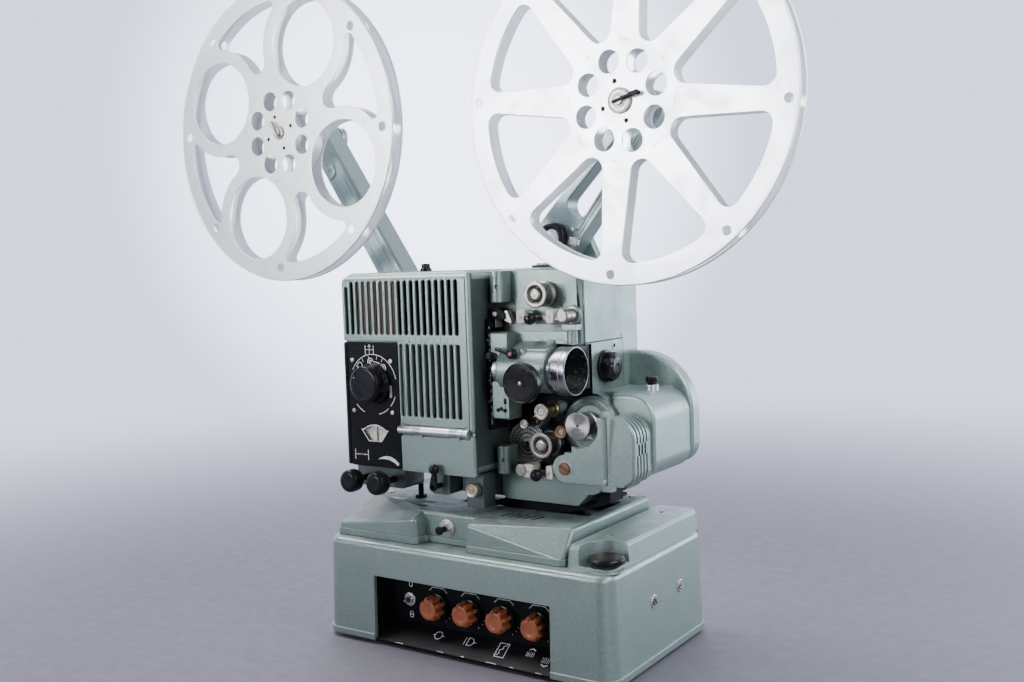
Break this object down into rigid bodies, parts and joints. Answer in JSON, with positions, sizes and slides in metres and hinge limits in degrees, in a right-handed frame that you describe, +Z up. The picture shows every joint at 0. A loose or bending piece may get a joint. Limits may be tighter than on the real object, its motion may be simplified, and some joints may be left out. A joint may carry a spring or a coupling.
{
  "type": "film sound projector",
  "caption": "Film sound projector: tilting head with louvred lamp house, swing-out lens and sprockets on an amplifier base with tone knobs, two hinged arms carrying open reels.",
  "frame": {"origin": "middle of the bounding box on the floor plane", "axes": "+X the way the picture is thrown, -Y the operator side with door, gate and knobs, +Z up"},
  "size_m": [0.8744, 0.241, 0.811],
  "materials": {
    "hammertone_green": "hammertone enamel on cast aluminium",
    "black_bakelite": "moulded, polished",
    "black_enamel": "black enamel",
    "black_rubber": "matt",
    "brown_plastic": "moulded",
    "steel": "turned",
    "chrome": "polished",
    "brass": "worn",
    "aluminium": "bright stamped sheet",
    "glass": "clear",
    "dial_white": "printed"
  },
  "bodies": {
    "base": {"base_housing": "hammertone_green", "base_plate": "black_enamel", "base_feet": "black_rubber", "deck_cover": "hammertone_green", "control_panel": "black_enamel", "base_screws": "steel", "amp_chassis": "steel", "tilt_cradle": "black_enamel", "bushings": "steel"},
    "head": {"main_casting": "hammertone_green", "bearing_bosses": "hammertone_green", "lamp_house": "hammertone_green", "rear_cover": "hammertone_green", "tilt_rocker": "black_enamel", "head_panel": "black_enamel", "meter_dial": "dial_white", "lamp": "glass", "lamp_optics": "aluminium", "gate_plate": "black_enamel", "film_guides": "hammertone_green", "exciter_house": "hammertone_green", "motor_housing": "hammertone_green", "fan_shroud": "hammertone_green", "arm_bracket": "hammertone_green"},
    "lens_barrel": {"lens_barrel": "chrome", "lens_glass": "glass"},
    "front_reel": {"front_reel": "aluminium", "front_spindle": "steel"},
    "rear_reel": {"rear_reel": "aluminium", "rear_spindle": "steel"},
    "volume_knob": {"volume_knob": "brown_plastic"},
    "bass_knob": {"bass_knob": "brown_plastic"},
    "treble_knob": {"treble_knob": "brown_plastic"},
    "tone_knob": {"tone_knob": "brown_plastic"},
    "toggle_lever": {"toggle_lever": "steel"},
    "push_button": {"push_button": "black_bakelite"},
    "levelling_knob": {"levelling_knob": "black_bakelite"},
    "tilt_knob": {"tilt_knob": "brass"},
    "meter_needle": {"meter_needle": "black_enamel"},
    "main_knob": {"main_knob": "black_bakelite"},
    "lamp_knob_a": {"lamp_knob_a": "black_bakelite"},
    "lamp_knob_b": {"lamp_knob_b": "black_bakelite"},
    "mode_lever": {"mode_lever": "black_bakelite"},
    "lamp_door": {"lamp_door": "hammertone_green"},
    "door_latch": {"door_latch": "black_bakelite"},
    "lens_carrier": {"lens_carrier": "hammertone_green"},
    "focus_knob": {"focus_knob": "black_bakelite"},
    "lens_lever": {"lens_lever": "black_bakelite"},
    "upper_sprocket": {"upper_sprocket": "steel"},
    "lower_sprocket": {"lower_sprocket": "steel"},
    "upper_shoe": {"upper_shoe": "aluminium"},
    "lower_shoe": {"lower_shoe": "aluminium"},
    "sound_drum": {"sound_drum": "steel"},
    "pressure_roller": {"pressure_roller": "brass"},
    "guide_roller": {"guide_roller": "steel"},
    "tension_roller": {"tension_roller": "brass"},
    "sound_flap": {"sound_flap": "hammertone_green"},
    "inching_knob": {"inching_knob": "black_bakelite"},
    "front_arm": {"front_arm": "hammertone_green"},
    "rear_arm": {"rear_arm": "hammertone_green"}
  },
  "joints": [
    {"name": "volume_knob_turn", "type": "hinge", "parent": "base", "child": "volume_knob", "pos_m": [0.00775, -0.0995, 0.05], "axis": [0, 1, 0], "range_deg": [-140, 140]},
    {"name": "bass_knob_turn", "type": "hinge", "parent": "base", "child": "bass_knob", "pos_m": [0.05425, -0.0995, 0.05], "axis": [0, 1, 0], "range_deg": [-140, 140]},
    {"name": "treble_knob_turn", "type": "hinge", "parent": "base", "child": "treble_knob", "pos_m": [0.10075, -0.0995, 0.05], "axis": [0, 1, 0], "range_deg": [-140, 140]},
    {"name": "tone_knob_turn", "type": "hinge", "parent": "base", "child": "tone_knob", "pos_m": [0.14725, -0.0995, 0.05], "axis": [0, 1, 0], "range_deg": [-140, 140]},
    {"name": "toggle_tip", "type": "hinge", "parent": "base", "child": "toggle_lever", "pos_m": [-0.03325, -0.0875, 0.052], "axis": [1, 0, 0], "range_deg": [-9, 9]},
    {"name": "push_button_press", "type": "slide", "parent": "base", "child": "push_button", "axis": [0, 1, 0], "range_m": [0, 0.004], "stiffness_N_per_m": 250, "springref_m": -0.002},
    {"name": "levelling_knob_turn", "type": "hinge", "parent": "base", "child": "levelling_knob", "pos_m": [0.23175, -0.0875, 0.13], "axis": [0, 0, 1], "continuous": true},
    {"name": "head_tilt", "type": "hinge", "parent": "base", "child": "head", "pos_m": [0.09375, 0.0165, 0.161], "axis": [0, 1, 0], "range_deg": [-3, 3]},
    {"name": "tilt_knob_turn", "type": "hinge", "parent": "head", "child": "tilt_knob", "pos_m": [0.05375, -0.0795, 0.187], "axis": [0, 1, 0], "range_deg": [-125, 125]},
    {"name": "main_knob_turn", "type": "hinge", "parent": "head", "child": "main_knob", "pos_m": [-0.07725, -0.0995, 0.307], "axis": [0, 1, 0], "range_deg": [-60, 75]},
    {"name": "meter_needle_swing", "type": "hinge", "parent": "head", "child": "meter_needle", "pos_m": [-0.07925, -0.0855, 0.232], "axis": [0, 1, 0], "range_deg": [-30, 30], "stiffness_Nm_per_rad": 0.0004},
    {"name": "lamp_knob_a_turn", "type": "hinge", "parent": "head", "child": "lamp_knob_a", "pos_m": [-0.09925, -0.1095, 0.192], "axis": [0, 1, 0], "range_deg": [-170, 170]},
    {"name": "lamp_knob_b_turn", "type": "hinge", "parent": "head", "child": "lamp_knob_b", "pos_m": [-0.05825, -0.1095, 0.192], "axis": [0, 1, 0], "range_deg": [-170, 170]},
    {"name": "mode_lever_swing", "type": "hinge", "parent": "head", "child": "mode_lever", "pos_m": [0.01275, -0.0795, 0.191], "axis": [0, 1, 0], "range_deg": [-25, 25]},
    {"name": "lamp_door_swing", "type": "hinge", "parent": "head", "child": "lamp_door", "pos_m": [0.01175, -0.0905, 0.254], "axis": [1, 0, 0], "range_deg": [0, 100]},
    {"name": "door_latch_press", "type": "slide", "parent": "head", "child": "door_latch", "axis": [0, 0, -1], "range_m": [0, 0.0025], "stiffness_N_per_m": 300, "springref_m": -0.002},
    {"name": "lens_carrier_swing", "type": "hinge", "parent": "head", "child": "lens_carrier", "pos_m": [0.17175, -0.0425, 0.36], "axis": [0, 0, 1], "range_deg": [0, 70]},
    {"name": "lens_focus", "type": "slide", "parent": "lens_carrier", "child": "lens_barrel", "axis": [1, 0, 0], "range_m": [-0.003, 0.005]},
    {"name": "focus_knob_turn", "type": "hinge", "parent": "lens_carrier", "child": "focus_knob", "pos_m": [0.14375, -0.0995, 0.316], "axis": [0, 1, 0], "range_deg": [-95, 155]},
    {"name": "lens_lever_swing", "type": "hinge", "parent": "lens_carrier", "child": "lens_lever", "pos_m": [0.11175, -0.0735, 0.344], "axis": [0, 1, 0], "range_deg": [-12, 50]},
    {"name": "upper_sprocket_spin", "type": "hinge", "parent": "head", "child": "upper_sprocket", "pos_m": [0.13625, -0.0495, 0.4086], "axis": [0, 1, 0], "continuous": true},
    {"name": "lower_sprocket_spin", "type": "hinge", "parent": "head", "child": "lower_sprocket", "pos_m": [0.13775, -0.0495, 0.2415], "axis": [0, 1, 0], "continuous": true},
    {"name": "inching_knob_turn", "type": "hinge", "parent": "head", "child": "inching_knob", "pos_m": [0.18775, 0.0105, 0.3244], "axis": [1, 0, 0], "continuous": true},
    {"name": "upper_shoe_swing", "type": "hinge", "parent": "head", "child": "upper_shoe", "pos_m": [0.16975, -0.0495, 0.385], "axis": [0, 1, 0], "range_deg": [-9, 0]},
    {"name": "lower_shoe_swing", "type": "hinge", "parent": "head", "child": "lower_shoe", "pos_m": [0.10975, -0.0495, 0.212], "axis": [0, 1, 0], "range_deg": [0, 20]},
    {"name": "sound_drum_spin", "type": "hinge", "parent": "head", "child": "sound_drum", "pos_m": [0.18575, -0.0495, 0.266], "axis": [0, 1, 0], "continuous": true},
    {"name": "pressure_roller_spin", "type": "hinge", "parent": "head", "child": "pressure_roller", "pos_m": [0.14175, -0.0495, 0.28], "axis": [0, 1, 0], "continuous": true},
    {"name": "guide_roller_spin", "type": "hinge", "parent": "head", "child": "guide_roller", "pos_m": [0.11735, -0.0495, 0.2646], "axis": [0, 1, 0], "continuous": true},
    {"name": "tension_roller_spin", "type": "hinge", "parent": "head", "child": "tension_roller", "pos_m": [0.16275, -0.0495, 0.258], "axis": [0, 1, 0], "continuous": true},
    {"name": "sound_flap_swing", "type": "hinge", "parent": "head", "child": "sound_flap", "pos_m": [0.21575, -0.0555, 0.24], "axis": [0, 0, 1], "range_deg": [0, 95]},
    {"name": "front_arm_swing", "type": "hinge", "parent": "head", "child": "front_arm", "pos_m": [0.12775, 0.0145, 0.472], "axis": [0, 1, 0], "range_deg": [-22, 12]},
    {"name": "rear_arm_swing", "type": "hinge", "parent": "head", "child": "rear_arm", "pos_m": [-0.09625, 0.0225, 0.389], "axis": [0, 1, 0], "range_deg": [-55, 0]},
    {"name": "front_reel_spin", "type": "hinge", "parent": "front_arm", "child": "front_reel", "pos_m": [0.24725, 0.0005, 0.6064], "axis": [0, 1, 0], "continuous": true},
    {"name": "rear_reel_spin", "type": "hinge", "parent": "rear_arm", "child": "rear_reel", "pos_m": [-0.24725, 0.0005, 0.621], "axis": [0, 1, 0], "continuous": true}
  ],
  "couplings": [
    {"joint": "tilt_knob_turn", "follows": "head_tilt", "ratio": 40},
    {"joint": "focus_knob_turn", "follows": "lens_focus", "rad_per_m": 523.6},
    {"joint": "lower_sprocket_spin", "follows": "upper_sprocket_spin", "ratio": 1},
    {"joint": "inching_knob_turn", "follows": "upper_sprocket_spin", "ratio": 3}
  ]
}
